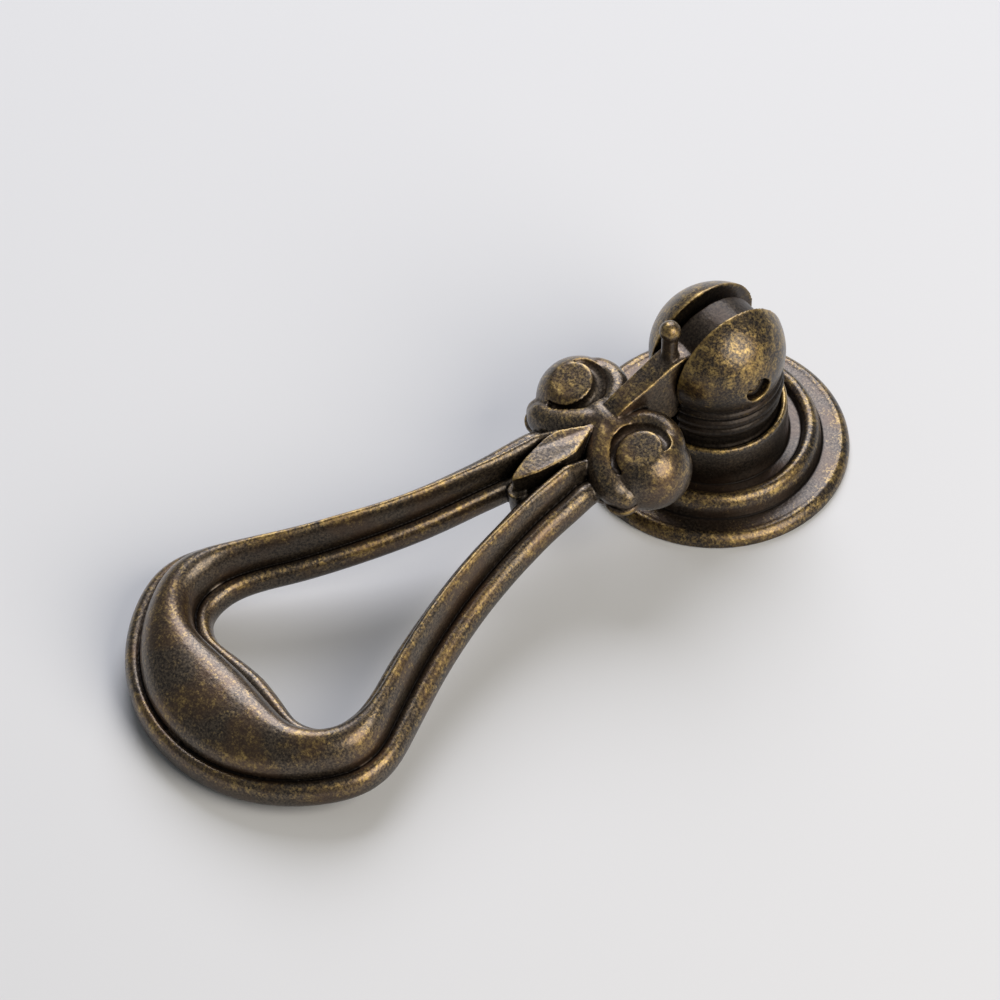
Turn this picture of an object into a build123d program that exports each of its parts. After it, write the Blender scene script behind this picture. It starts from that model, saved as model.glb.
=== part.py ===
from build123d import *
import math
import os

# A drop handle on a round rosette. The origin is the middle of the rosette's back face,
# which lies on the drawer front. +Z points out of the drawer, and the handle lies towards -Y.

# Overall sizes
overall_length = 67.5
overall_height = 17.5
rosette_diameter = 22.0
ball_diameter = 11.0

# Rosette: rolled rim, dished band, bead ring, well and drum
rim_width = 1.0
rim_height = 1.65
rim_foot_radius = 0.35
rim_step = 0.05
band_height = 1.25
bead_outer_radius = 8.6
bead_crest_radius = 7.8
bead_inner_radius = 7.0
bead_height = 3.05
bead_foot_height = 1.75
well_height = 2.3
well_rise = 0.6
well_sag = 0.1
drum_radius = 5.95
drum_taper = 0.15
drum_wall = 0.5
drum_lip = 0.2
socket_depth = 0.8

# Ball post: foot, waist, two rings and the slotted ball
neck_height = 5.95
foot_clearance = 0.1
foot_height = 0.5
foot_shoulder = 0.2
waist_radius = 4.9
lower_ring_radius = 5.45
lower_ring_height = 1.4
upper_ring_radius = 5.5
upper_ring_height = 0.95
ring_gap = 0.2
ring_groove_depth = 0.35
ball_seat_step = 0.08
ball_seat_height = 0.7
spigot_diameter = 7.0
spigot_clearance = 0.05
spigot_recess = 0.4
thread_minor_diameter = 3.3
thread_end_wall = 1.15
thread_mouth_chamfer = 0.35
slot_width = 3.4

# Hinge
pin_diameter = 1.5
pin_end_recess = 0.75
pin_end_chamfer = 0.15
pin_seat_clearance = 0.01
pin_clearance = 0.05
counterbore_diameter = 2.4
counterbore_depth = 0.7
eye_radius = 4.4
eye_thickness = 2.7
eye_floor_gap = 0.15

# Handle. Its back is a flat plane below the hinge line. Across is X, and reach is the
# distance from the hinge line towards the grip.
back_drop = 2.6
back_edge_radius = 1.25
bead_height = 3.45
groove_height = 2.95
bead_crest_share = 0.5
leg_bead_width = 1.05
leg_rib_height = 4.0
grip_outer_bead_width = 0.9
grip_inner_bead_width = 1.9
grip_rib_height = 5.65

# The grip's outside is a half ellipse, and each leg runs up from it in one curve.
loop_half_width = 14.1
grip_rise = 11.9
grip_depth = 10.2
leg_top_reach = 14.2
leg_top_half_width = 4.15
leg_grip_run = 2.9
leg_top_run = 16.1
leg_waist_pull = 0.4
gap_half_width = 7.9
gap_corner_height = 2.3
gap_corner_dip = 4.8
gap_foot_run = 4.0
gap_grip_run = 2.8
gap_top_run = 15.4
gap_waist_pull = 0.6
gap_top_half_width = 0.1
leg_pairing = 1.2

# Scrolls: a bulb, an arm and a groove that wind round it, a petal below it and a flat button
bulb_radius = 3.6
bulb_offset = 4.7
bulb_reach = 10.7
bulb_level = -1.3
button_height = 3.2
button_tilt = 12
button_edge_radius = 0.25
arm_radius = 0.95
arm_start_angle = 188
arm_end_angle = 300
arm_start_distance = 3.5
arm_end_distance = 2.3
arm_start_level = 0.25
arm_end_level = -0.4
volute_radius = 0.5
volute_start_angle = -66
volute_end_angle = -306
volute_start_distance = 1.75
volute_end_distance = 3.1
petal_radius = 1.5
petal_start_angle = 155
petal_end_angle = 66
petal_start_distance = 4.1
petal_end_distance = 3.4
petal_start_level = -0.25
petal_end_level = -1.55
flange_thickness = 0.5
flange_overhang = 0.15
saddle_radius = 1.9
saddle_setback = 0.1
saddle_level = -0.45

# Leaf between the legs, and the round wall that closes the crotch
crotch_reach = 21.6
crotch_radius = 0.9
crotch_level = 0.6
leaf_length = 8.5
leaf_wide_length = 5.0
leaf_end_gap = 0.8
leaf_half_width = 1.45
leaf_upper_fullness = 0.68
leaf_lower_fullness = 0.62
leaf_level = 1.75
leaf_tilt = 4.8
leaf_depth = 3.9

# Stem from the eye to the scrolls, with the knob on its shoulder
stem_width = 2.4
stem_root = 2.6
stem_shoulder_reach = 4.7
stem_shoulder_level = 3.6
stem_throat_reach = 8.7
stem_throat_level = 2.45
stem_end_level = 1.3
heel_reach = 6.1
heel_radius = 0.8
peg_diameter = 1.35
peg_lean = 9.5
peg_root = 1.6
knob_diameter = 1.8
knob_level = 6.45
knob_reach = 3.95

rosette_radius = rosette_diameter / 2
ball_radius = ball_diameter / 2
hinge_height = overall_height - ball_radius
drum_height = hinge_height - neck_height
pin_radius = pin_diameter / 2
socket_floor = drum_height - socket_depth
socket_radius = drum_radius - drum_taper - drum_wall
slot_floor = hinge_height - eye_radius - eye_floor_gap
grip_reach = overall_length - rosette_radius

# The handle hangs down until the rounded back edge of its grip touches the drawer front.
droop = 0
for step in range(20):
    edge_fall = (back_drop - back_edge_radius) * math.cos(droop)
    fall = hinge_height - back_edge_radius - edge_fall
    wall_level = bead_height - grip_outer_bead_width / 2 - back_drop
    handle_end = (grip_reach - wall_level * math.sin(droop)) / math.cos(droop)
    droop = math.asin(fall / (handle_end - back_edge_radius))


def revolved(outline):
    """The solid that a closed outline of (radius, height) sweeps about the Z axis."""
    return revolve(Plane.XZ * make_face(outline), Axis.Z)


def make_rosette():
    bore_radius = spigot_diameter / 2 + spigot_clearance
    band_outer_radius = rosette_radius - rim_width
    band_middle = (band_outer_radius + bead_outer_radius) / 2
    rim_radius = rim_width / 2
    rim_middle = rosette_radius - rim_radius
    drum_top_radius = drum_radius - drum_taper
    drum_shoulder = drum_height - drum_lip
    well_middle = (bead_inner_radius + drum_radius) / 2
    outline = [
        Line((bore_radius, 0), (rosette_radius - rim_foot_radius, 0)),
        CenterArc((rosette_radius - rim_foot_radius, rim_foot_radius), rim_foot_radius, -90, 90),
        Line((rosette_radius, rim_foot_radius), (rosette_radius, rim_height - rim_radius)),
        CenterArc((rim_middle, rim_height - rim_radius), rim_radius, 0, 90),
        Line((rim_middle, rim_height), (band_outer_radius, band_height + rim_step)),
        ThreePointArc(
            (band_outer_radius, band_height + rim_step),
            (band_middle, band_height),
            (bead_outer_radius, bead_foot_height),
        ),
        ThreePointArc(
            (bead_outer_radius, bead_foot_height),
            (bead_crest_radius, bead_height),
            (bead_inner_radius, well_height),
        ),
        ThreePointArc(
            (bead_inner_radius, well_height),
            (well_middle, well_height + well_sag),
            (drum_radius, well_height + well_rise),
        ),
        Line((drum_radius, well_height + well_rise), (drum_top_radius, drum_shoulder)),
        ThreePointArc(
            (drum_top_radius, drum_shoulder),
            (drum_top_radius - drum_wall / 2, drum_height),
            (socket_radius, drum_shoulder),
        ),
        Line((socket_radius, drum_shoulder), (socket_radius, socket_floor)),
        Line((socket_radius, socket_floor), (bore_radius, socket_floor)),
        Line((bore_radius, socket_floor), (bore_radius, 0)),
    ]
    return revolved(outline)


def make_ball_post():
    foot_radius = socket_radius - foot_clearance
    foot_top = socket_floor + foot_height
    spigot_radius = spigot_diameter / 2
    throat_radius = upper_ring_radius - ring_groove_depth
    ball_foot_radius = throat_radius + ball_seat_step
    ball_foot = hinge_height - math.sqrt(ball_radius**2 - ball_foot_radius**2)
    upper_ring_top = ball_foot - ball_seat_height
    upper_ring_bottom = upper_ring_top - upper_ring_height
    lower_ring_top = upper_ring_bottom - ring_gap
    lower_ring_bottom = lower_ring_top - lower_ring_height
    outline = [
        Line((0, spigot_recess), (spigot_radius, spigot_recess)),
        Line((spigot_radius, spigot_recess), (spigot_radius, socket_floor)),
        Line((spigot_radius, socket_floor), (foot_radius, socket_floor)),
        Line((foot_radius, socket_floor), (foot_radius, foot_top)),
        Line((foot_radius, foot_top), (waist_radius, foot_top + foot_shoulder)),
        Line((waist_radius, foot_top + foot_shoulder), (waist_radius, lower_ring_bottom)),
        ThreePointArc(
            (waist_radius, lower_ring_bottom),
            (lower_ring_radius, (lower_ring_bottom + lower_ring_top) / 2),
            (throat_radius, lower_ring_top),
        ),
        Line((throat_radius, lower_ring_top), (throat_radius, upper_ring_bottom)),
        ThreePointArc(
            (throat_radius, upper_ring_bottom),
            (upper_ring_radius, (upper_ring_bottom + upper_ring_top) / 2),
            (throat_radius, upper_ring_top),
        ),
        Line((throat_radius, upper_ring_top), (ball_foot_radius, ball_foot)),
        ThreePointArc(
            (ball_foot_radius, ball_foot),
            (ball_radius, hinge_height),
            (0, hinge_height + ball_radius),
        ),
        Line((0, hinge_height + ball_radius), (0, spigot_recess)),
    ]
    post = revolved(outline)

    slot_height = hinge_height + ball_diameter - slot_floor
    slot = Box(
        slot_width,
        2 * ball_diameter,
        slot_height,
        align=(Align.CENTER, Align.CENTER, Align.MIN),
    )
    post -= Pos(0, 0, slot_floor) * slot

    hinge_line = Pos(0, 0, hinge_height) * Rot(0, 90, 0)
    post -= hinge_line * Cylinder(pin_radius + pin_seat_clearance, 2 * ball_diameter)
    for side in (-1, 1):
        mouth = Cylinder(counterbore_diameter / 2, ball_radius)
        reach = side * (1.5 * ball_radius - counterbore_depth)
        post -= Pos(reach, 0, 0) * hinge_line * mouth

    # Blind thread for the screw that comes through the drawer front
    thread_radius = thread_minor_diameter / 2
    mouth_radius = thread_radius + thread_mouth_chamfer
    thread_end = slot_floor - thread_end_wall
    thread_outline = Polyline(
        (0, spigot_recess),
        (mouth_radius, spigot_recess),
        (thread_radius, spigot_recess + thread_mouth_chamfer),
        (thread_radius, thread_end),
        (0, thread_end),
        close=True,
    )
    return post - revolved(thread_outline)


def make_hinge_pin():
    length = 2 * (ball_radius - pin_end_recess)
    pin = Pos(0, 0, hinge_height) * Rot(0, 90, 0) * Cylinder(pin_radius, length)
    return chamfer(pin.edges().filter_by(GeomType.CIRCLE), pin_end_chamfer)


def facing_points():
    """Pairs of points on the outside and on the finger gap's edge, from the middle of the grip
    to the top of the right leg."""
    widest = -handle_end + grip_rise
    leg_top = -leg_top_reach
    gap_foot = -handle_end + grip_depth
    gap_corner = gap_foot + gap_corner_height
    grip_outside = EllipticalCenterArc((0, widest), loop_half_width, grip_rise, 270, arc_size=90)
    leg_outside = Bezier(
        (loop_half_width, widest),
        (loop_half_width, widest + leg_grip_run),
        (leg_top_half_width + leg_waist_pull, leg_top - leg_top_run),
        (leg_top_half_width, leg_top),
    )
    grip_inside = Bezier(
        (0, gap_foot),
        (gap_foot_run, gap_foot),
        (gap_half_width, gap_corner - gap_corner_dip),
        (gap_half_width, gap_corner),
    )
    leg_inside = Bezier(
        (gap_half_width, gap_corner),
        (gap_half_width, gap_corner + gap_grip_run),
        (gap_top_half_width - gap_waist_pull, leg_top - gap_top_run),
        (gap_top_half_width, leg_top),
    )
    grip_steps = 8
    leg_steps = 10
    pairs = []
    for index in range(grip_steps):
        share = index / grip_steps
        pairs.append((grip_outside @ share, grip_inside @ share))
    for index in range(leg_steps + 1):
        share = index / leg_steps
        pairs.append((leg_outside @ share, leg_inside @ share**leg_pairing))
    return pairs


def loop_section(outside, inside):
    """One section of the loop: flat back, walls, a bead along each edge and the raised rib."""
    leg_width = leg_top_half_width - gap_top_half_width
    grip_swell = (inside - outside).length - leg_width
    swell = min(max(grip_swell / (grip_depth - leg_width), 0), 1)
    outer_bead = leg_bead_width + (grip_outer_bead_width - leg_bead_width) * swell
    inner_bead = leg_bead_width + (grip_inner_bead_width - leg_bead_width) * swell
    rib_height = leg_rib_height + (grip_rib_height - leg_rib_height) * swell
    across = (inside - outside).normalized()
    width = (inside - outside).length
    rib_half_width = (width - outer_bead - inner_bead) / 2
    round_end = width - back_edge_radius
    outer_wall = bead_height - outer_bead / 2
    inner_wall = bead_height - inner_bead / 2
    corner = back_edge_radius * (1 - math.sqrt(0.5))
    outline = [
        Line((back_edge_radius, 0), (round_end, 0)),
        ThreePointArc((round_end, 0), (width - corner, corner), (width, back_edge_radius)),
        Line((width, back_edge_radius), (width, inner_wall)),
        ThreePointArc(
            (width, inner_wall),
            (width - inner_bead * bead_crest_share, bead_height),
            (width - inner_bead, groove_height),
        ),
        EllipticalCenterArc(
            (outer_bead + rib_half_width, groove_height),
            rib_half_width,
            rib_height - groove_height,
            0,
            arc_size=180,
        ),
        ThreePointArc(
            (outer_bead, groove_height),
            (outer_bead * bead_crest_share, bead_height),
            (0, outer_wall),
        ),
        Line((0, outer_wall), (0, back_edge_radius)),
        ThreePointArc((0, back_edge_radius), (corner, corner), (back_edge_radius, 0)),
    ]
    upright = Vector(0, 0, 1)
    place = Plane(
        origin=(outside.X, outside.Y, -back_drop),
        x_dir=across,
        z_dir=across.cross(upright),
    )
    return place * make_face(outline)


def make_loop():
    """The grip and both legs, one smooth body from the top of one leg to the other."""
    right = facing_points()
    left = [(Vector(-a.X, a.Y), Vector(-b.X, b.Y)) for a, b in reversed(right[1:])]
    return loft([loop_section(outside, inside) for outside, inside in left + right])


def tube(points, radius):
    """A round bar with round ends, bent through a few points."""
    course = Spline(points)
    bar = sweep(Plane(origin=course @ 0, z_dir=course % 0) * Circle(radius), path=course)
    return bar + Pos(course @ 0) * Sphere(radius) + Pos(course @ 1) * Sphere(radius)


def wound(start_angle, end_angle, start_distance, end_distance):
    """Steps round the bulb's middle: (share of the way, across, reach, distance from the middle).
    Angles run from the outside of the handle towards the grip."""
    steps = 9
    for index in range(steps):
        share = index / (steps - 1)
        angle = math.radians(start_angle + (end_angle - start_angle) * share)
        distance = start_distance + (end_distance - start_distance) * share
        across = bulb_offset + distance * math.cos(angle)
        reach = bulb_reach + distance * math.sin(angle)
        yield share, across, reach, distance


def petal_course():
    return wound(petal_start_angle, petal_end_angle, petal_start_distance, petal_end_distance)


def make_scroll():
    """The right scroll: a round bulb with a flat button, the arm over it and the groove."""
    button_face = Rot(button_tilt, 0, 0) * Pos(0, 0, button_height)
    above = Box(
        2 * bulb_radius,
        2 * bulb_radius,
        bulb_radius,
        align=(Align.CENTER, Align.CENTER, Align.MIN),
    )
    bulb = Sphere(bulb_radius) - button_face * above
    bulb = fillet(bulb.edges().filter_by(GeomType.CIRCLE), button_edge_radius)
    arm_points = []
    for share, across, reach, _ in wound(
        arm_start_angle, arm_end_angle, arm_start_distance, arm_end_distance
    ):
        level = arm_start_level + (arm_end_level - arm_start_level) * share
        arm_points.append((across, -reach, level))
    groove_points = []
    for _, across, reach, distance in wound(
        volute_start_angle, volute_end_angle, volute_start_distance, volute_end_distance
    ):
        level = bulb_level + math.sqrt(bulb_radius**2 - distance**2)
        groove_points.append((across, -reach, level))
    scroll = Pos(bulb_offset, -bulb_reach, bulb_level) * bulb + tube(arm_points, arm_radius)
    return scroll - tube(groove_points, volute_radius)


def make_petal():
    """The right petal: a round lobe that curls from the saddle out below the scroll."""
    points = []
    for share, across, reach, _ in petal_course():
        level = petal_start_level + (petal_end_level - petal_start_level) * share
        points.append((across, -reach, level))
    return tube(points, petal_radius)


def make_flange():
    """The thin rim of the casting under the scrolls and petals, flat on the back."""
    outline = Pos(bulb_offset, -bulb_reach) * Circle(bulb_radius + flange_overhang)
    lobe = Circle(petal_radius + flange_overhang)
    for _, across, reach, _ in petal_course():
        outline += Pos(across, -reach) * lobe
    return Pos(0, 0, -back_drop) * extrude(outline, flange_thickness)


def make_crotch():
    """The wall under the leaf that closes the gap between the legs, round at the crotch."""
    height = back_drop + crotch_level
    wall_end = crotch_reach - crotch_radius
    align = (Align.CENTER, Align.MAX, Align.MIN)
    wall = Box(2 * crotch_radius, wall_end - bulb_reach, height, align=align)
    end = Cylinder(crotch_radius, height, align=(Align.CENTER, Align.CENTER, Align.MIN))
    return Pos(0, 0, -back_drop) * (Pos(0, -bulb_reach) * wall + Pos(0, -wall_end) * end)


def make_leaf():
    """The pointed leaf between the legs, flat on top with upright sides."""
    half = [
        (0, 0),
        (leaf_half_width * leaf_lower_fullness, (leaf_length - leaf_wide_length) / 2),
        (leaf_half_width, leaf_length - leaf_wide_length),
        (leaf_half_width * leaf_upper_fullness, leaf_length - leaf_wide_length / 2),
        (0, leaf_length),
    ]
    right = Spline(half)
    left = mirror(right, Plane.YZ)
    leaf = Pos(0, 0, -leaf_depth) * extrude(make_face([right, left]), leaf_depth)
    middle = leaf_length / 2
    tip = -crotch_reach + leaf_end_gap
    return Pos(0, tip + middle, leaf_level) * Rot(-leaf_tilt, 0, 0) * Pos(0, -middle, 0) * leaf


def make_stem():
    """The upright web from the eye to the scrolls, with its square-edged top."""
    start = (0, stem_root)
    stem_end_reach = bulb_reach - saddle_setback
    outline = Polyline(
        start,
        (-stem_shoulder_reach, stem_shoulder_level),
        (-stem_throat_reach, stem_throat_level),
        (-stem_end_reach, stem_end_level),
        (-stem_end_reach, -back_drop),
        (-heel_reach, -back_drop),
        (0, -stem_root),
        start,
    )
    side = make_face(outline)
    heel = side.vertices().sort_by_distance((-heel_reach, -back_drop))[0]
    side = fillet(heel, heel_radius)
    return extrude(Plane.YZ * side, stem_width / 2, both=True)


def make_knob():
    peg_length = (knob_level - stem_shoulder_level + peg_root) / math.cos(math.radians(peg_lean))
    peg = Cylinder(peg_diameter / 2, peg_length, align=(Align.CENTER, Align.CENTER, Align.MAX))
    knob = peg + Sphere(knob_diameter / 2)
    return Pos(0, -knob_reach, knob_level) * Rot(-peg_lean, 0, 0) * knob


def make_drop_handle():
    lying_across = Rot(0, 90, 0)
    saddle = lying_across * Cylinder(saddle_radius, 2 * bulb_offset)
    handle = make_loop()
    handle += make_crotch()
    handle += make_leaf()
    handle += Pos(0, saddle_setback - bulb_reach, saddle_level) * saddle
    for piece in (make_flange(), make_scroll(), make_petal()):
        handle += piece
        handle += mirror(piece, Plane.YZ)
    handle += make_stem()
    handle += lying_across * Cylinder(eye_radius, eye_thickness)
    handle += make_knob()
    below = Box(
        3 * loop_half_width,
        handle_end - heel_reach,
        back_drop,
        align=(Align.CENTER, Align.MAX, Align.MAX),
    )
    handle -= Pos(0, -heel_reach, -back_drop) * below
    handle -= lying_across * Cylinder(pin_radius + pin_clearance, 2 * eye_thickness)
    return Pos(0, 0, hinge_height) * Rot(math.degrees(droop), 0, 0) * handle


os.makedirs("parts", exist_ok=True)
export_step(make_rosette(), "parts/rosette.step")
export_step(make_ball_post(), "parts/ball_post.step")
export_step(make_hinge_pin(), "parts/hinge_pin.step")
export_step(make_drop_handle(), "parts/drop_handle.step")
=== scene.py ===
import bpy
import bmesh
import math
import numpy as np
from mathutils import Vector, Matrix
from mathutils.bvhtree import BVHTree


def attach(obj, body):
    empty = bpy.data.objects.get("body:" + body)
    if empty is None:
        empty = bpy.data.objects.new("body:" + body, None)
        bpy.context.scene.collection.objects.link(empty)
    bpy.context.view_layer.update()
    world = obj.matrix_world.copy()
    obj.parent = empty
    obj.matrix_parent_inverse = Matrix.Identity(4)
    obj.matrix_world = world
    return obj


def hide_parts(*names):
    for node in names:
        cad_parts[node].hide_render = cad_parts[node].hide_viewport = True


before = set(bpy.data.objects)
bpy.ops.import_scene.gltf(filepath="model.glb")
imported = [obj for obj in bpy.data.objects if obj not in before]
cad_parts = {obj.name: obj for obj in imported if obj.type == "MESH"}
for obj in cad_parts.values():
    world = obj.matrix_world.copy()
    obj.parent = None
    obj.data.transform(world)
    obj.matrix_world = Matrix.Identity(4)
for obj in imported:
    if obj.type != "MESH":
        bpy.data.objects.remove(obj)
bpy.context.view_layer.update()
scene = bpy.context.scene

# every piece is shaped in millimetres, and goes to metres when it is done
mm = 0.001

# the hinge pin's axis over the drawer front; the post, the handle and the pin share it
hingeHeight = 12.0


def linkMesh(name, bm):
    mesh = bpy.data.meshes.new(name)
    bm.to_mesh(mesh)
    bm.free()
    obj = bpy.data.objects.new(name, mesh)
    scene.collection.objects.link(obj)
    return obj


def meshObject(name, bm):
    bmesh.ops.remove_doubles(bm, verts=bm.verts, dist=0.0005)
    bmesh.ops.recalc_face_normals(bm, faces=bm.faces)
    return linkMesh(name, bm)


def settle(obj):
    # puts the modifiers' result into the mesh
    bpy.context.view_layer.update()
    graph = bpy.context.evaluated_depsgraph_get()
    mesh = bpy.data.meshes.new_from_object(obj.evaluated_get(graph))
    old = obj.data
    obj.modifiers.clear()
    obj.data = mesh
    bpy.data.meshes.remove(old)
    mesh.name = obj.name


def discard(obj):
    mesh = obj.data
    bpy.data.objects.remove(obj)
    bpy.data.meshes.remove(mesh)


def cutAway(obj, tool):
    cut = obj.modifiers.new("cut", "BOOLEAN")
    cut.operation = "DIFFERENCE"
    cut.solver = "EXACT"
    cut.object = tool
    settle(obj)
    discard(tool)


def share(value, start, span):
    # how far the value is along the span, from 0 to 1
    return min(max((value - start) / span, 0), 1)


def skinRings(bm, rings):
    # joins rings of as many points each into a closed body
    for first, second in zip(rings, rings[1:]):
        for index in range(len(first)):
            following = (index + 1) % len(first)
            bm.faces.new((first[index], first[following], second[following], second[index]))
    bm.faces.new(rings[0])
    bm.faces.new(list(reversed(rings[-1])))


def bar(name, points, radii):
    # a bent round bar through a few points, with a ball on each end
    curve = bpy.data.curves.new(name, "CURVE")
    curve.dimensions = "3D"
    curve.bevel_depth = 1
    curve.bevel_resolution = 7
    curve.resolution_u = 10
    curve.use_fill_caps = True
    line = curve.splines.new("BEZIER")
    line.bezier_points.add(len(points) - 1)
    for knot, point, radius in zip(line.bezier_points, points, radii):
        knot.co = point
        knot.radius = radius
        knot.handle_left_type = "AUTO"
        knot.handle_right_type = "AUTO"
    holder = bpy.data.objects.new(name, curve)
    scene.collection.objects.link(holder)
    bpy.context.view_layer.update()
    graph = bpy.context.evaluated_depsgraph_get()
    mesh = bpy.data.meshes.new_from_object(holder.evaluated_get(graph))
    bpy.data.objects.remove(holder)
    bpy.data.curves.remove(curve)
    bm = bmesh.new()
    bm.from_mesh(mesh)
    bpy.data.meshes.remove(mesh)
    for point, radius in ((points[0], radii[0]), (points[-1], radii[-1])):
        bmesh.ops.create_icosphere(
            bm, subdivisions=4, radius=radius, matrix=Matrix.Translation(point))
    return linkMesh(name, bm)


def cylinderBetween(bm, start, end, radius, segments=64):
    start, end = Vector(start), Vector(end)
    along = end - start
    turn = along.to_track_quat("Z", "Y").to_matrix().to_4x4()
    place = Matrix.Translation((start + end) / 2) @ turn
    bmesh.ops.create_cone(
        bm, cap_ends=True, segments=segments, radius1=radius, radius2=radius,
        depth=along.length, matrix=place)


def spinProfile(name, profile, steps):
    # the profile's (radius, height) points close a loop, or run from the axis back to the axis
    bm = bmesh.new()
    verts = [bm.verts.new((radius, 0, height)) for radius, height in profile]
    edges = [bm.edges.new((a, b)) for a, b in zip(verts, verts[1:])]
    bmesh.ops.spin(
        bm, geom=verts + edges, cent=(0, 0, 0), axis=(0, 0, 1),
        angle=2 * math.pi, steps=steps, use_merge=True)
    return meshObject(name, bm)


def fineCast(obj, voxel, smoothing, swell=0.0, grain=1.2, keep=1.0):
    # one skin over all the shells, its edges eased as a casting's are; keep is the share of
    # its faces that stay
    skin = obj.modifiers.new("skin", "REMESH")
    skin.mode = "VOXEL"
    skin.voxel_size = voxel
    skin.use_smooth_shade = True
    ease = obj.modifiers.new("ease", "SMOOTH")
    ease.factor = 0.5
    ease.iterations = smoothing
    if swell:
        cloud = bpy.data.textures.new(obj.name + "Hand", "CLOUDS")
        cloud.noise_scale = grain
        cloud.noise_depth = 1
        uneven = obj.modifiers.new("uneven", "DISPLACE")
        uneven.texture = cloud
        uneven.texture_coords = "LOCAL"
        uneven.strength = swell
        uneven.mid_level = 0.5
    if keep < 1:
        thin = obj.modifiers.new("thin", "DECIMATE")
        thin.ratio = keep
    settle(obj)


def toFrame(obj, matrix=None):
    place = Matrix.Scale(mm, 4)
    if matrix is not None:
        place = place @ matrix
    obj.data.transform(place)
    for face in obj.data.polygons:
        face.use_smooth = True


def storeWearAndShade(obj, shelter=None, rayLength=2.2, rays=9):
    # "bend" is how strongly the surface bulges, per millimetre; the occlusion is how much of the part
    # lies over each point, which keeps hands off it and darkens it as painted shade;
    #  the kept-and-shaded share is where no hand rubs and where shade is painted: walls, faces that look
    #  down, and what the shelter says
    mesh = obj.data
    count = len(mesh.vertices)
    co = np.empty(count * 3, np.float32)
    mesh.vertices.foreach_get("co", co)
    co = co.reshape(-1, 3) / mm
    normal = np.empty(count * 3, np.float32)
    mesh.vertex_normals.foreach_get("vector", normal)
    normal = normal.reshape(-1, 3)
    ends = np.empty(len(mesh.edges) * 2, np.int32)
    mesh.edges.foreach_get("vertices", ends)
    a, b = ends.reshape(-1, 2).T
    step = co[b] - co[a]
    curve = ((normal[b] - normal[a]) * step).sum(1) / np.maximum((step * step).sum(1), 1e-5)
    both = np.concatenate((a, b))
    other = np.concatenate((b, a))
    degree = np.maximum(np.bincount(both, minlength=count), 1)

    def spread(values, times):
        for _ in range(times):
            values = 0.5 * values + 0.5 * np.bincount(both, values[other], count) / degree
        return values

    bend = np.bincount(both, np.concatenate((curve, curve)), count) / degree
    bend = spread(np.clip(bend, -6, 6), 5)

    tree = BVHTree.FromPolygons(
        [Vector(point) for point in co], [tuple(face.vertices) for face in mesh.polygons])
    golden = math.pi * (3 - math.sqrt(5))
    fan = []
    for index in range(rays):
        up = math.sqrt(1 - (index + 0.5) / rays * 0.95)
        flat = math.sqrt(1 - up * up)
        fan.append(Vector((flat * math.cos(golden * index), flat * math.sin(golden * index), up)))
    # how much of the part lies over each point, from the rays; it later darkens the point as painted
    # shade
    occlusion = np.zeros(count)
    for index in range(count):
        point = Vector(co[index])
        out = Vector(normal[index])
        turn = out.to_track_quat("Z", "Y")
        start = point + out * 0.03
        hits = 0.0
        for ray in fan:
            distance = tree.ray_cast(start, turn @ ray, rayLength)[3]
            if distance is not None:
                hits += 1 - 0.6 * distance / rayLength
        occlusion[index] = hits / rays
    occlusion = spread(occlusion, 6)
    # faces that look sideways or down rub less, and get painted shade
    keptAndShaded = np.clip(0.35 - normal[:, 2], 0, 1)
    if shelter is not None:
        keptAndShaded = np.maximum(keptAndShaded, shelter(*co.T))
    for name, values in (("bend", bend), ("occlusion", occlusion), ("keptAndShaded", keptAndShaded)):
        layer = mesh.attributes.new(name, "FLOAT", "POINT")
        layer.data.foreach_set("value", values.astype(np.float32))


# stage

stageLook = {
    "floorSize": 1.5,
    "floorRoughness": 0.6,
    "floorColour": (0.65, 0.662, 0.675),
    "worldColour": (0.96, 0.98, 1.0),
    "worldStrength": 0.2,
}

floorSheet = bmesh.new()
bmesh.ops.create_grid(floorSheet, x_segments=1, y_segments=1, size=stageLook["floorSize"])
floor = meshObject("floor", floorSheet)
floorPaint = bpy.data.materials.new("floorPaint")
floorPaint.use_nodes = True
floorShader = floorPaint.node_tree.nodes["Principled BSDF"]
floorShader.inputs["Base Color"].default_value = (*stageLook["floorColour"], 1)
floorShader.inputs["Roughness"].default_value = stageLook["floorRoughness"]
floor.data.materials.append(floorPaint)

world = bpy.data.worlds.new("studio")
world.use_nodes = True
sky = world.node_tree.nodes["Background"]
sky.inputs["Color"].default_value = (*stageLook["worldColour"], 1)
sky.inputs["Strength"].default_value = stageLook["worldStrength"]
scene.world = world

lampList = [
    # name, azimuth and elevation of where it stands, distance, size, power, colour
    ("backSoft", 229, 41, 0.55, 0.44, 2.65, (0.93, 0.93, 1.0)),
    ("rightSoft", 103, 38, 0.50, 0.42, 2.2, (1.0, 0.925, 0.82)),
]


def outwards(azimuth, elevation):
    azimuth, elevation = math.radians(azimuth), math.radians(elevation)
    return Vector((
        math.sin(azimuth) * math.cos(elevation),
        -math.cos(azimuth) * math.cos(elevation),
        math.sin(elevation)))


lampAim = Vector((0, -0.025, 0.004))
for name, azimuth, elevation, distance, size, power, colour in lampList:
    light = bpy.data.lights.new(name, "AREA")
    light.shape = "DISK"
    light.size = size
    light.energy = power
    light.color = colour
    lamp = bpy.data.objects.new(name, light)
    away = outwards(azimuth, elevation)
    lamp.location = lampAim + away * distance
    lamp.rotation_euler = away.to_track_quat("Z", "Y").to_euler()
    scene.collection.objects.link(lamp)

photoView = {
    "azimuth": 50.95,
    "elevation": 49.52,
    "roll": 1.71,
    "distance": 3.23527,
    "aim": (-0.005817, -0.017398, 0.0),
    "lens": 1440,
}

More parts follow.
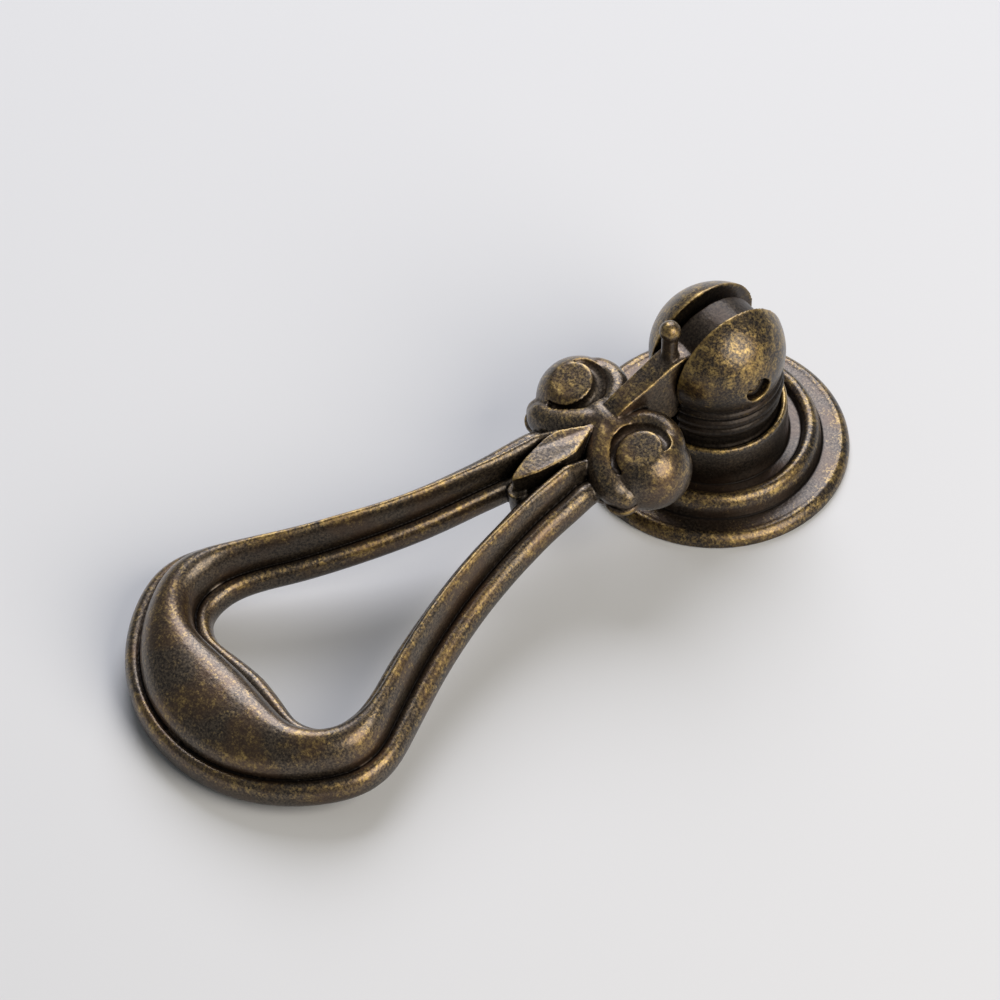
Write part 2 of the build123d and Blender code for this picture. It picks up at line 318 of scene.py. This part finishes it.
lens = bpy.data.cameras.new("photoView")
lens.lens = photoView["lens"]
lens.sensor_width = 36
lens.clip_end = 20
back = outwards(photoView["azimuth"], photoView["elevation"])
right = (-back).cross(Vector((0, 0, 1))).normalized()
up = right.cross(-back)
roll = math.radians(photoView["roll"])
camRight = math.cos(roll) * right + math.sin(roll) * up
camUp = -math.sin(roll) * right + math.cos(roll) * up
camera = bpy.data.objects.new("photoView", lens)
camera.matrix_world = Matrix.Translation(
    Vector(photoView["aim"]) + back * photoView["distance"]
) @ Matrix((camRight, camUp, back)).transposed().to_4x4()
scene.collection.objects.link(camera)
scene.camera = camera

scene.view_settings.view_transform = "Standard"
print("stage set")


# finishes

bronzeLook = {
    # near black, painted where shade falls
    "shadeColour": (0.006, 0.004, 0.003),
    "patinaDark": (0.031, 0.023, 0.018),
    "patinaLight": (0.165, 0.128, 0.088),
    "patinaRed": (0.104, 0.060, 0.034),
    "brass": (0.25, 0.160, 0.050),
    "brassPale": (0.52, 0.36, 0.120),
    "roughPatina": 0.34,
    "roughBrass": 0.40,
    "lacquer": 0.62,
    "roughLacquer": 0.26,
    "metallic": 0.93,
    # noise scales per metre, from the widest clouds to the finest specks
    "patchScale": 260,
    "mottleScale": 1400,
    "grainScale": 3000,
    "fleckScale": 4600,
    "grainStrength": 0.45,
    "grainDepth": 0.00004,
    "waveStrength": 0.38,
    "waveDepth": 0.00008,
    "wornFrom": 1.30,  # how much rub begins to show brass, and how much bares it
    "wornTo": 1.85,
}


def link(tree, source, target):
    tree.links.new(source, target)


def mathNode(tree, operation, first, second, clamp=False):
    node = tree.nodes.new("ShaderNodeMath")
    node.operation = operation
    node.use_clamp = clamp
    for slot, value in zip(node.inputs, (first, second)):
        if isinstance(value, (int, float)):
            slot.default_value = value
        else:
            link(tree, value, slot)
    return node.outputs[0]


def mapRange(tree, value, low, high, toLow=0.0, toHigh=1.0):
    node = tree.nodes.new("ShaderNodeMapRange")
    node.interpolation_type = "SMOOTHSTEP"
    link(tree, value, node.inputs["Value"])
    node.inputs["From Min"].default_value = low
    node.inputs["From Max"].default_value = high
    node.inputs["To Min"].default_value = toLow
    node.inputs["To Max"].default_value = toHigh
    return node.outputs["Result"]


def mixColour(tree, factor, first, second):
    node = tree.nodes.new("ShaderNodeMix")
    node.data_type = "RGBA"
    link(tree, factor, node.inputs["Factor"])
    for slot, value in ((node.inputs[6], first), (node.inputs[7], second)):
        if isinstance(value, tuple):
            slot.default_value = (*value, 1)
        else:
            link(tree, value, slot)
    return node.outputs[2]


def noise(tree, place, scale, detail, rough):
    node = tree.nodes.new("ShaderNodeTexNoise")
    link(tree, place, node.inputs["Vector"])
    node.inputs["Scale"].default_value = scale
    node.inputs["Detail"].default_value = detail
    node.inputs["Roughness"].default_value = rough
    return node.outputs["Fac"]


def attributeValue(tree, name):
    node = tree.nodes.new("ShaderNodeAttribute")
    node.attribute_name = name
    return node.outputs["Fac"]


def agedBronze(name, look, rubbed=0.0):
    material = bpy.data.materials.new(name)
    material.use_nodes = True
    tree = material.node_tree
    shader = tree.nodes["Principled BSDF"]
    place = tree.nodes.new("ShaderNodeTexCoord").outputs["Object"]

    patches = noise(tree, place, look["patchScale"], 2, 0.5)
    mottle = noise(tree, place, look["mottleScale"], 4, 0.6)
    flecks = noise(tree, place, look["fleckScale"], 4, 0.72)
    skin = noise(tree, place, look["grainScale"], 2, 0.5)
    bend = attributeValue(tree, "bend")
    occlusion = attributeValue(tree, "occlusion")
    keptAndShaded = attributeValue(tree, "keptAndShaded")

    # where hands have rubbed the patina through to brass
    rub = mathNode(tree, "ADD", mapRange(tree, bend, 0.03, 0.4, rubbed, rubbed + 0.14),
                   mapRange(tree, bend, 0.4, 2.2, 0.0, 0.22))
    for layer, amount in ((mottle, 0.6), (flecks, 1.4), (patches, 0.6), (occlusion, -0.6), (keptAndShaded, -0.4)):
        rub = mathNode(tree, "ADD", rub, mathNode(tree, "MULTIPLY", layer, amount))
    worn = mapRange(tree, rub, look["wornFrom"], look["wornTo"])

    # painted shade: hollows, creases, faces that look down and sheltered places go near black
    paintedShade = mapRange(tree, occlusion, 0.22, 0.75)
    creaseShade = mapRange(tree, bend, -0.35, -2.4)
    paintedShade = mathNode(tree, "MAXIMUM", paintedShade, creaseShade)
    paintedShade = mathNode(tree, "MAXIMUM", paintedShade, mathNode(tree, "MULTIPLY", keptAndShaded, 0.62), clamp=True)

    specks = mapRange(tree, flecks, 0.36, 0.66)
    patina = mixColour(tree, specks, look["patinaDark"], look["patinaLight"])
    redness = mapRange(tree, patches, 0.40, 0.68, 0.0, 0.75)
    patina = mixColour(tree, redness, patina, look["patinaRed"])
    brass = mixColour(tree, mapRange(tree, mottle, 0.4, 0.7), look["brass"], look["brassPale"])
    colour = mixColour(tree, worn, patina, brass)
    # painted shade: the colour goes near black where the shade mask is high
    colour = mixColour(tree, paintedShade, colour, look["shadeColour"])
    link(tree, colour, shader.inputs["Base Color"])

    gloss = mapRange(tree, worn, 0, 1, look["roughPatina"], look["roughBrass"])
    gloss = mathNode(tree, "ADD", gloss, mathNode(tree, "MULTIPLY", mottle, 0.10))
    gloss = mathNode(tree, "ADD", gloss, mathNode(tree, "MULTIPLY", paintedShade, 0.2), clamp=True)
    link(tree, gloss, shader.inputs["Roughness"])
    shader.inputs["Metallic"].default_value = look["metallic"]
    # the painted shade also takes most of the coat's sheen away
    coat = mapRange(tree, paintedShade, 0, 1, look["lacquer"], 0.08)
    link(tree, coat, shader.inputs["Coat Weight"])
    shader.inputs["Coat Roughness"].default_value = look["roughLacquer"]

    # cast skin: fine grain over slow waves
    grain = tree.nodes.new("ShaderNodeBump")
    grain.inputs["Strength"].default_value = look["grainStrength"]
    grain.inputs["Distance"].default_value = look["grainDepth"]
    link(tree, skin, grain.inputs["Height"])
    waves = tree.nodes.new("ShaderNodeBump")
    waves.inputs["Strength"].default_value = look["waveStrength"]
    waves.inputs["Distance"].default_value = look["waveDepth"]
    link(tree, mottle, waves.inputs["Height"])
    link(tree, grain.outputs["Normal"], waves.inputs["Normal"])
    link(tree, waves.outputs["Normal"], shader.inputs["Normal"])
    link(tree, grain.outputs["Normal"], shader.inputs["Coat Normal"])
    return material


# the rosette and the post are touched less than the handle, and are darker
darkLook = {
    **bronzeLook,
    "patinaDark": (0.019, 0.014, 0.011),
    "patinaLight": (0.094, 0.074, 0.055),
    "patinaRed": (0.064, 0.038, 0.023),
}

bronze = agedBronze("agedBronze", bronzeLook)
darkBronze = agedBronze("darkBronze", darkLook)
rubbedBronze = agedBronze("rubbedBronze", darkLook, 0.16)
print("finishes made")


# rosette

rosetteSizes = {
    "steps": 160,
    # (radius, height) from the back of the rim over the front to the socket
    "profile": [
        (3.55, 0.0), (7.0, 0.0), (10.6, 0.0), (10.86, 0.01), (10.97, 0.07), (11.0, 0.18), (11.0, 0.32),
        (10.96, 0.50), (10.88, 0.68), (10.76, 0.84), (10.60, 0.98), (10.42, 1.09), (10.28, 1.12),
        (10.14, 1.12), (10.02, 1.10), (9.92, 1.08), (9.80, 1.08), (9.40, 1.08), (9.00, 1.08),
        (8.82, 1.09), (8.74, 1.14), (8.70, 1.26), (8.67, 1.55), (8.62, 1.95), (8.53, 2.32),
        (8.38, 2.64), (8.18, 2.88), (7.94, 3.01), (7.69, 3.04), (7.45, 2.96), (7.27, 2.80),
        (7.16, 2.60), (7.10, 2.42), (7.04, 2.30), (6.94, 2.26), (6.60, 2.25), (6.20, 2.25),
        (6.08, 2.28), (6.02, 2.38), (5.99, 2.70), (5.95, 3.70), (5.91, 4.40), (5.88, 5.10), (5.85, 5.62),
        (5.82, 5.83), (5.74, 5.97), (5.61, 6.04), (5.48, 6.03), (5.38, 5.95), (5.32, 5.80),
        (5.30, 5.25), (4.5, 5.25), (3.55, 5.25), (3.55, 2.6), (3.55, 0.0),
    ],
}


def makeRosette(sizes):
    rosette = spinProfile("rosetteCast", sizes["profile"], sizes["steps"])
    soften = rosette.modifiers.new("soften", "SUBSURF")
    soften.levels = 1
    soften.render_levels = 1
    settle(rosette)
    toFrame(rosette)
    storeWearAndShade(rosette)
    rosette.data.materials.append(darkBronze)
    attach(rosette, "base")
    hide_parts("rosette")
    return rosette


rosette = makeRosette(rosetteSizes)
print("rosette made", len(rosette.data.polygons))


# ball post

postSizes = {
    "ballRadius": 5.56,
    "slotMiddle": -0.25,
    "slotWidth": 3.5,
    "slotFloor": 7.45,
    "counterboreRadius": 1.13,
    "counterboreDepth": 0.9,
    "pinHoleRadius": 0.76,
    "neckTop": 10.4,
    "ballRings": 28,
    "steps": 144,
    "voxel": 0.1,
    "unevenness": 0.03,
    "unevenGrain": 1.6,
    "meshShare": 0.9,
    # (radius, height) from the spigot's foot up to the ball
    "neck": [
        (0, 0.4), (3.45, 0.4), (3.5, 0.5), (3.5, 5.27), (5.1, 5.27), (5.18, 5.4), (5.15, 5.7),
        (4.95, 5.95), (4.9, 6.4), (4.9, 6.75), (4.94, 6.9), (5.1, 7.02), (5.26, 7.2), (5.33, 7.45),
        (5.30, 7.7), (5.2, 7.86), (5.08, 7.93), (5.06, 8.02), (5.12, 8.1), (5.30, 8.18), (5.45, 8.34),
        (5.5, 8.56), (5.46, 8.78), (5.36, 8.94), (5.22, 9.02), (5.14, 9.1), (5.14, 9.2), (5.24, 9.28),
        (5.36, 9.38), (5.41, 9.52), (5.36, 9.66), (5.24, 9.76), (5.14, 9.84), (5.12, 9.96), (5.2, 10.08),
        (5.26, 10.22),
    ],
}


def neckShelter(x, y, z):
    # the neck below the ball, and the walls of the slot: kept from rubbing, and painted with shade under
    # the ball and inside the slot
    inSlot = postSizes["slotWidth"] / 2 + 0.1 - np.abs(x - postSizes["slotMiddle"])
    onNeck = postSizes["neckTop"] - z
    return np.maximum(np.clip(onNeck * 1.6, 0, 1.1), np.clip(inSlot * 6, 0, 1))


def makePost(sizes):
    radius, height = sizes["ballRadius"], hingeHeight
    low = math.asin((sizes["neckTop"] - height) / radius)
    rings = sizes["ballRings"]
    ball = []
    for index in range(rings + 1):
        angle = low + (math.pi / 2 - low) * index / rings
        ball.append((radius * math.cos(angle), height + radius * math.sin(angle)))
    ball[-1] = (0, height + radius)
    post = spinProfile("postCast", sizes["neck"] + ball, sizes["steps"])

    # the cutters reach well past the ball
    slot = bmesh.new()
    tall, deep = 14, 16
    place = Matrix.Translation((sizes["slotMiddle"], 0, sizes["slotFloor"] + tall / 2))
    size = Matrix.Diagonal((sizes["slotWidth"], deep, tall, 1))
    bmesh.ops.create_cube(slot, size=1, matrix=place @ size)
    cutAway(post, meshObject("slotCutter", slot))

    beyond = 9
    for side in (-1, 1):
        drill = bmesh.new()
        near = side * (radius - sizes["counterboreDepth"])
        far = side * beyond
        cylinderBetween(drill, (near, 0, height), (far, 0, height), sizes["counterboreRadius"])
        cutAway(post, meshObject("drillCutter", drill))
    drill = bmesh.new()
    cylinderBetween(drill, (-beyond, 0, height), (beyond, 0, height), sizes["pinHoleRadius"], 40)
    cutAway(post, meshObject("drillCutter", drill))

    fineCast(
        post, sizes["voxel"], smoothing=4, swell=sizes["unevenness"], grain=sizes["unevenGrain"],
        keep=sizes["meshShare"])
    toFrame(post)
    storeWearAndShade(post, neckShelter)
    post.data.materials.append(rubbedBronze)
    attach(post, "base")
    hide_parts("ball_post")
    return post


post = makePost(postSizes)
print("ball post made", len(post.data.polygons))


# handle

handleSizes = {
    "droop": 9.68,
    "backDrop": 2.6,
    "backFrom": 6.5,  # the back is flat from this reach on
    "eyeRadius": 4.4,
    "eyeHalfWidth": 1.3,
    "eyeBore": 0.8,
    "knobPlace": (0, -3.96, 6.46),
    "knobRadius": 0.9,
    "pegFoot": (0, -4.64, 2.4),
    "pegRadius": 0.68,
    "crotchReach": 20.6,  # the round end of the leaf's wall
    "crotchRadius": 0.85,
    "crotchTop": 0.3,
    "voxel": 0.1,
    "mostVertices": 95000,
    # across and reach on the outside, then across and reach on the finger gap's side,
    # from the middle of the grip up the right leg
    "stations": [
        (0, 57.15, 0, 46.85), (2.9, 56.87, 1.2, 46.93), (5.6, 56.07, 2.5, 47.08), (8.2, 54.72, 3.9, 47.3),
        (10.5, 52.85, 5.35, 47.4), (12.4, 50.55, 6.8, 46.8), (13.65, 48.2, 7.45, 46.1),
        (14.08, 46.2, 7.75, 45.4), (13.85, 44.3, 7.87, 44.7), (13.2, 42.6, 7.88, 43.7),
        (12.1, 40.5, 7.57, 42.38), (11.1, 38.6, 6.88, 40.7), (10.1, 36.7, 5.93, 38.77),
        (9.18, 34.8, 5.03, 36.66), (8.32, 32.8, 4.2, 34.52), (7.54, 30.8, 3.42, 32.35),
        (6.84, 28.8, 2.7, 30.15), (6.23, 26.7, 2.06, 27.92), (5.71, 24.7, 1.55, 25.68),
        (5.27, 22.6, 1.1, 23.43), (4.9, 20.6, 0.62, 21.3), (4.6, 18.0, 0.2, 18.6),
        (4.3, 16.0, 0.06, 16.3), (4.1, 14.3, 0.06, 14.5), (4.0, 13.2, 0.1, 13.3),
    ],
    "legOuterBead": 1.65,
    "legInnerBead": 1.25,
    "gripOuterBead": 1.25,
    "gripInnerBead": 1.55,
    "wallHeight": 1.3,
    "beadHeight": 2.85,
    "grooveHeight": 2.5,
    "legWidth": 4.7,
    "gripGain": 5.0,  # a section this much wider than a leg is all grip
    "crotchRib": 4.65,
    "gripRib": 5.65,
    "climbFrom": 17,
    "climbLength": 16,
    "ribSteps": 24,
    "ribPower": 0.88,  # a lower power makes a fuller rib
    "gripPowerDrop": 0.26,  # on the finger gap's side of the grip
    "gripCrest": 0.64,  # how far across the grip its crest lies
    "backRound": 1.25,
    "legBackRise": 0.3,
    # both ends dive under the petals
    "endDive": 0.45,
    "diveFrom": 16.6,
    "diveLength": 3.4,
    "loopRings": 320,
}

scrollSizes = {
    "bulbRadius": 3.5,
    "bulbPlace": (4.6, 10.85, -1.3),  # across, reach, level
    "buttonHeight": 3.08,
    "buttonTilt": 7.6,
    "grooveSink": 0.2,
    # across, reach and radius along the groove, which fades out in the arm and by the petal
    "groove": [
        (5.85, 9.9, 0.2), (5.35, 9.3, 0.45), (4.5, 9.05, 0.56), (3.7, 9.15, 0.62),
        (2.95, 9.65, 0.66), (2.42, 10.4, 0.66), (2.25, 11.3, 0.66), (2.38, 12.1, 0.66),
        (2.75, 12.8, 0.62), (3.35, 13.3, 0.54), (4.0, 13.52, 0.4), (4.6, 13.55, 0.24),
    ],
    "saddlePlace": (0, -11.3, 0.55),
    "saddleSize": (2.7, 1.9, 1.4),
    # middle lines of the bars on one side, and their radii
    "arm": [(0.2, -11.0, 0.45), (1.2, -9.8, 0.5), (2.1, -8.65, 0.45), (3.4, -8.15, 0.3),
            (4.8, -8.4, 0.1), (5.85, -9.2, -0.2)],
    "armRadii": [1.0, 1.0, 1.02, 1.05, 1.05, 0.95],
    "petal": [(0.3, -11.6, 0.4), (1.2, -12.55, 0.25), (2.2, -13.5, 0.0), (3.4, -14.15, -0.35),
              (4.7, -14.3, -0.75), (5.5, -14.05, -1.05)],
    "petalRadii": [1.5, 1.55, 1.55, 1.52, 1.42, 1.2],
    # x, y and radius of the discs on one side
    "flange": [(4.6, -10.85, 3.35), (5.25, -14.1, 1.55), (3.8, -14.15, 1.6), (2.4, -13.6, 1.6)],
    "flangeFoot": -2.1,
    "flangeTop": -1.62,
    "blockMiddle": (0, -11.9, -1.35),
    "blockSize": (6.4, 4.4, 1.5),
    "scrollVoxel": 0.11,
    "grooveVoxel": 0.1,
}

leafSizes = {
    # half width, reach and level of the flat top, from the saddle to the crotch
    "rim": [(0, 12.5, 1.62), (0.45, 13.3, 1.76), (0.9, 14.3, 1.95), (1.34, 15.3, 2.08),
            (1.38, 16.1, 2.12), (1.3, 16.8, 2.14), (0.92, 18.8, 2.17), (0.35, 20.4, 2.12),
            (0, 20.95, 2.08)],
    "depth": 4.4,
}

stemSizes = {
    # reach, level of the top and half width of the top, from the eye to the saddle
    "tops": [(1.5, 2.6, 1.2), (3.0, 3.3, 1.2), (4.55, 3.48, 1.1), (7.6, 2.82, 1.01), (10.2, 2.24, 0.92),
             (11.2, 1.5, 0.9)],
    "foot": -2.4,
    "draft": 0.05,
    "edge": 0.12,
}


def smoothLine(points, count):
    # an even line through the points
    points = np.array(points, float)
    padded = np.vstack((2 * points[0] - points[1], points, 2 * points[-1] - points[-2]))
    fine = []
    for index in range(len(points) - 1):
        p0, p1, p2, p3 = padded[index:index + 4]
        for t in np.linspace(0, 1, 24, endpoint=False):
            fine.append(0.5 * (2 * p1 + (p2 - p0) * t + (2 * p0 - 5 * p1 + 4 * p2 - p3) * t**2
                               + (3 * p1 - p0 - 3 * p2 + p3) * t**3))
    fine.append(points[-1])
    fine = np.array(fine)
    length = np.concatenate(([0], np.cumsum(np.linalg.norm(np.diff(fine, axis=0), axis=1))))
    even = np.linspace(0, length[-1], count)
    return np.column_stack([np.interp(even, length, column) for column in fine.T])


def ribSection(sizes, width, swell, climb):
    # (depth from the outer edge, height) round one section of the loop, back first
    outer = sizes["legOuterBead"] + (sizes["gripOuterBead"] - sizes["legOuterBead"]) * swell
    innerSwell = min(swell * 1.8, 1)  # the inner bead widens before the rib does
    inner = sizes["legInnerBead"] + (sizes["gripInnerBead"] - sizes["legInnerBead"]) * innerSwell
    ribTop = sizes["crotchRib"] + (sizes["gripRib"] - sizes["crotchRib"]) * climb
    crest = 0.5 + (sizes["gripCrest"] - 0.5) * swell
    rise = sizes["legBackRise"] * (1 - swell)
    corner, wall = sizes["backRound"], sizes["wallHeight"]
    bead, groove = sizes["beadHeight"], sizes["grooveHeight"]
    turns = [math.pi / 2 * index / 7 for index in range(8)]
    section = [
        (corner * (1 - math.sin(angle)), rise + corner * (1 - math.cos(angle))) for angle in turns]

    def beadPoints(size):
        # the wall rolls over a wide bead and falls into the groove
        up = bead - wall
        return [
            (0, wall + 0.3), (0.03 * size, wall + 0.45 * up), (0.11 * size, wall + 0.66 * up),
            (0.24 * size, wall + 0.84 * up), (0.40 * size, wall + 0.96 * up), (0.56 * size, bead),
            (0.72 * size, bead - 0.03), (0.85 * size, bead - 0.12),
            (0.95 * size, groove + 0.05), (size, groove),
        ]

    section += beadPoints(outer)
    span = width - outer - inner
    steps = sizes["ribSteps"]
    for index in range(1, steps):
        # gentle on the outer side of the crest, full on the finger gap's side
        angle = math.pi * index / steps
        onOuterSide = index < steps / 2
        reach = span * crest if onOuterSide else span * (1 - crest)
        power = sizes["ribPower"] - (0 if onOuterSide else sizes["gripPowerDrop"] * swell)
        section.append((outer + span * crest - reach * math.cos(angle),
                        groove + (ribTop - groove) * math.sin(angle) ** power))
    section += [(width - depth, height) for depth, height in reversed(beadPoints(inner))]
    section += [
        (width - corner * (1 - math.cos(angle)), rise + corner * (1 - math.sin(angle)))
        for angle in turns]
    return section


def makeLoop(bm, sizes):
    half = sizes["stations"]
    whole = [(-a, b, -c, d) for a, b, c, d in reversed(half[1:])] + half
    stations = smoothLine(whole, sizes["loopRings"])
    for _ in range(10):
        stations[1:-1] = (stations[:-2] + 2 * stations[1:-1] + stations[2:]) / 4
    rings = []
    for x, reach, innerX, innerReach in stations:
        outer = Vector((x, -reach))
        across = Vector((innerX, -innerReach)) - outer
        width = across.length
        across.normalize()
        swell = share(width, sizes["legWidth"], sizes["gripGain"])
        climb = share(reach, sizes["climbFrom"], sizes["climbLength"])
        dive = share(sizes["diveFrom"] - reach, 0, sizes["diveLength"]) * sizes["endDive"]
        ring = []
        for depth, height in ribSection(sizes, width, swell, climb):
            place = outer + across * depth
            ring.append(bm.verts.new((*place, height * (1 - dive) - sizes["backDrop"])))
        rings.append(ring)
    skinRings(bm, rings)


def makeScrolls(sizes):
    radius = sizes["bulbRadius"]
    x, reach, level = sizes["bulbPlace"]
    place = Matrix.Translation((x, -reach, level))
    bm = bmesh.new()
    bmesh.ops.create_uvsphere(bm, u_segments=96, v_segments=64, radius=radius)
    # the flat button on top
    tilt = Matrix.Rotation(math.radians(sizes["buttonTilt"]), 4, "X")
    bmesh.ops.transform(bm, matrix=tilt, verts=bm.verts)
    face = tilt @ Vector((0, 0, 1))
    cut = bmesh.ops.bisect_plane(
        bm, geom=bm.verts[:] + bm.edges[:] + bm.faces[:], plane_co=face * sizes["buttonHeight"],
        plane_no=face, clear_outer=True)
    rim = [item for item in cut["geom_cut"] if isinstance(item, bmesh.types.BMEdge)]
    bmesh.ops.holes_fill(bm, edges=rim)
    bmesh.ops.transform(bm, matrix=place, verts=bm.verts)
    # the saddle that the two scrolls and petals grow from
    saddle = Matrix.Translation(sizes["saddlePlace"]) @ Matrix.Diagonal((*sizes["saddleSize"], 1))
    bmesh.ops.create_uvsphere(bm, u_segments=64, v_segments=32, radius=1, matrix=saddle)
    for name in ("arm", "petal"):
        limb = bar(name, sizes[name], sizes[name + "Radii"])
        bm.from_mesh(limb.data)
        discard(limb)
    scroll = meshObject("scroll", bm)
    # the groove runs over the bulb, sunk a little
    course = []
    for acrossPoint, reachPoint, _ in sizes["groove"]:
        away = math.hypot(acrossPoint - x, reachPoint - reach)
        height = math.sqrt(max(radius * radius - away * away, 0))
        course.append((acrossPoint, -reachPoint, level + height - sizes["grooveSink"]))
    groove = bar("groove", course, [grooveRadius for _, _, grooveRadius in sizes["groove"]])
    for obj, size in ((scroll, sizes["scrollVoxel"]), (groove, sizes["grooveVoxel"])):
        skin = obj.modifiers.new("skin", "REMESH")
        skin.mode = "VOXEL"
        skin.voxel_size = size
        settle(obj)
    cutAway(scroll, groove)
    other = scroll.modifiers.new("otherSide", "MIRROR")
    other.use_axis[0] = True
    other.use_bisect_axis[0] = True
    settle(scroll)
    return scroll


def makeFlange(bm, sizes):
    # the thin edge that shows below the scrolls, and the block between them
    foot, top = sizes["flangeFoot"], sizes["flangeTop"]
    for x, y, radius in sizes["flange"]:
        cylinderBetween(bm, (x, y, foot), (x, y, top), radius)
        cylinderBetween(bm, (-x, y, foot), (-x, y, top), radius)
    block = Matrix.Translation(sizes["blockMiddle"]) @ Matrix.Diagonal((*sizes["blockSize"], 1))
    bmesh.ops.create_cube(bm, size=1, matrix=block)


def makeLeaf(sizes):
    bm = bmesh.new()
    half = smoothLine(sizes["rim"], 33)
    outline = [(x, -reach, level) for x, reach, level in half]
    outline += [(-x, -reach, level) for x, reach, level in half[-2:0:-1]]
    verts = [bm.verts.new(place) for place in outline]
    top = bm.faces.new(verts)
    wall = bmesh.ops.extrude_face_region(bm, geom=[top])
    lower = [item for item in wall["geom"] if isinstance(item, bmesh.types.BMVert)]
    bmesh.ops.translate(bm, verts=lower, vec=(0, 0, -sizes["depth"]))
    return meshObject("leaf", bm)


def makeStem(sizes):
    bm = bmesh.new()
    rings = []
    edge = sizes["edge"]
    for reach, level, half in smoothLine(sizes["tops"], 33):
        low = half + sizes["draft"] * (level - sizes["foot"])
        foot = max(sizes["foot"], -reach - 0.8)  # a little higher inside the eye
        section = [
            (-low, foot), (-half, level - edge), (-half + edge, level - 0.02), (0, level + 0.05),
            (half - edge, level - 0.02), (half, level - edge), (low, foot),
        ]
        rings.append([bm.verts.new((x, -reach, height)) for x, height in section])
    skinRings(bm, rings)
    return meshObject("stem", bm)


def eyeShelter(x, y, z):
    # the eye turns between the halves of the ball: no hand rubs it, and it gets painted shade where the
    # ball covers it
    away = np.hypot(y, z - hingeHeight)
    return np.clip((handleSizes["eyeRadius"] + 0.5 - away) * 2, 0, 1.3)


def makeHandle(sizes):
    bm = bmesh.new()
    makeLoop(bm, sizes)
    makeFlange(bm, scrollSizes)
    for piece in (makeScrolls(scrollSizes), makeLeaf(leafSizes), makeStem(stemSizes)):
        bm.from_mesh(piece.data)
        discard(piece)
    half = sizes["eyeHalfWidth"]
    cylinderBetween(bm, (-half, 0, 0), (half, 0, 0), sizes["eyeRadius"], 128)
    crotch = -sizes["crotchReach"]
    cylinderBetween(
        bm, (0, crotch, -sizes["backDrop"]), (0, crotch, sizes["crotchTop"]), sizes["crotchRadius"], 48)
    # knob on its peg, upright when the handle is down
    cylinderBetween(bm, sizes["pegFoot"], sizes["knobPlace"], sizes["pegRadius"], 40)
    bmesh.ops.create_uvsphere(
        bm, u_segments=40, v_segments=24, radius=sizes["knobRadius"],
        matrix=Matrix.Translation(sizes["knobPlace"]))
    bmesh.ops.recalc_face_normals(bm, faces=bm.faces)
    handle = linkMesh("handleCast", bm)
    fineCast(handle, sizes["voxel"], smoothing=3)
    # the back is flat
    for vert in handle.data.vertices:
        if vert.co.z < -sizes["backDrop"] and vert.co.y < -sizes["backFrom"]:
            vert.co.z = -sizes["backDrop"]
    drill = bmesh.new()
    beyond = 3  # past both faces of the eye
    cylinderBetween(drill, (-beyond, 0, 0), (beyond, 0, 0), sizes["eyeBore"], 48)
    cutAway(handle, meshObject("drillCutter", drill))
    thin = handle.modifiers.new("thin", "DECIMATE")
    thin.ratio = min(1.0, sizes["mostVertices"] / len(handle.data.vertices))
    settle(handle)
    hung = Matrix.Rotation(math.radians(sizes["droop"]), 4, "X")
    toFrame(handle, Matrix.Translation((0, 0, hingeHeight)) @ hung)
    storeWearAndShade(handle, eyeShelter)
    handle.data.materials.append(bronze)
    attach(handle, "handle")
    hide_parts("drop_handle")
    return handle


handle = makeHandle(handleSizes)
print("handle made", len(handle.data.polygons))


# hinge pin

pinSizes = {
    "radius": 0.75,
    "halfLength": 4.95,
    "rounding": 0.48,
}


def makePin(sizes):
    bm = bmesh.new()
    half, height = sizes["halfLength"], hingeHeight
    cylinderBetween(bm, (-half, 0, height), (half, 0, height), sizes["radius"], 64)
    # the edges round both ends
    rims = [edge for edge in bm.edges if edge.calc_face_angle() > 1]
    bmesh.ops.bevel(
        bm, geom=rims, offset=sizes["rounding"], segments=6, profile=0.5, affect="EDGES")
    pin = meshObject("pinTurned", bm)
    toFrame(pin)
    storeWearAndShade(pin)
    pin.data.materials.append(rubbedBronze)
    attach(pin, "base")
    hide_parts("hinge_pin")
    return pin


pin = makePin(pinSizes)
print("hinge pin made", len(pin.data.polygons))
